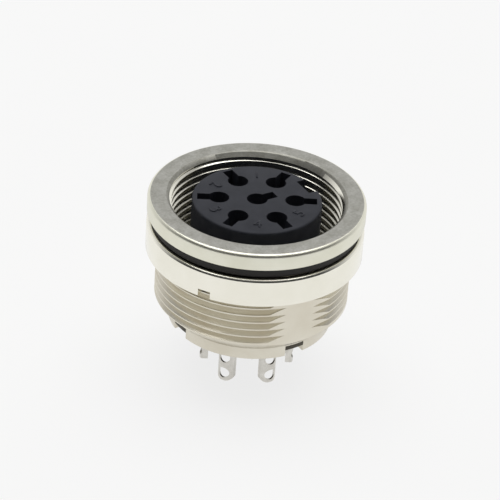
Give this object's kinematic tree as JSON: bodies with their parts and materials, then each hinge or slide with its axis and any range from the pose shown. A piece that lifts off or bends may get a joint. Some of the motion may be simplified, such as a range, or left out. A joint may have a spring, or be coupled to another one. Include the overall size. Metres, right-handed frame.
{
  "type": "round multi-pole panel receptacle",
  "caption": "Round front-mounted panel connector receptacle with female contacts, inner coupling thread, flange seal, sliding ring nut and half-round solder tails.",
  "frame": {"origin": "on the connector's axis, in the plane of the flange's front face", "axes": "+Z out of the mating face towards the plug, +X through the keyway, -Y through the flat milled on the panel thread"},
  "size_m": [0.02, 0.02, 0.0179],
  "materials": {
    "nickel_plate": "bright nickel plate over turned brass",
    "seal_rubber": "matte",
    "insert_plastic": "moulded, slightly satin",
    "ring_steel": "plain spring steel",
    "contact_plate": "tinned sheet"
  },
  "bodies": {
    "receptacle": {"housing": "nickel_plate", "flange_seal": "seal_rubber", "insert": "insert_plastic", "rear_insulator": "insert_plastic", "retaining_ring": "ring_steel", "contact_1": "contact_plate", "contact_2": "contact_plate", "contact_3": "contact_plate", "contact_4": "contact_plate", "contact_5": "contact_plate", "contact_6": "contact_plate", "contact_7": "contact_plate"},
    "nut": {"ring_nut": "nickel_plate"}
  },
  "joints": [
    {"name": "nut_travel", "type": "slide", "parent": "receptacle", "child": "nut", "axis": [0, 0, -1], "range_m": [0, 0.012]}
  ]
}
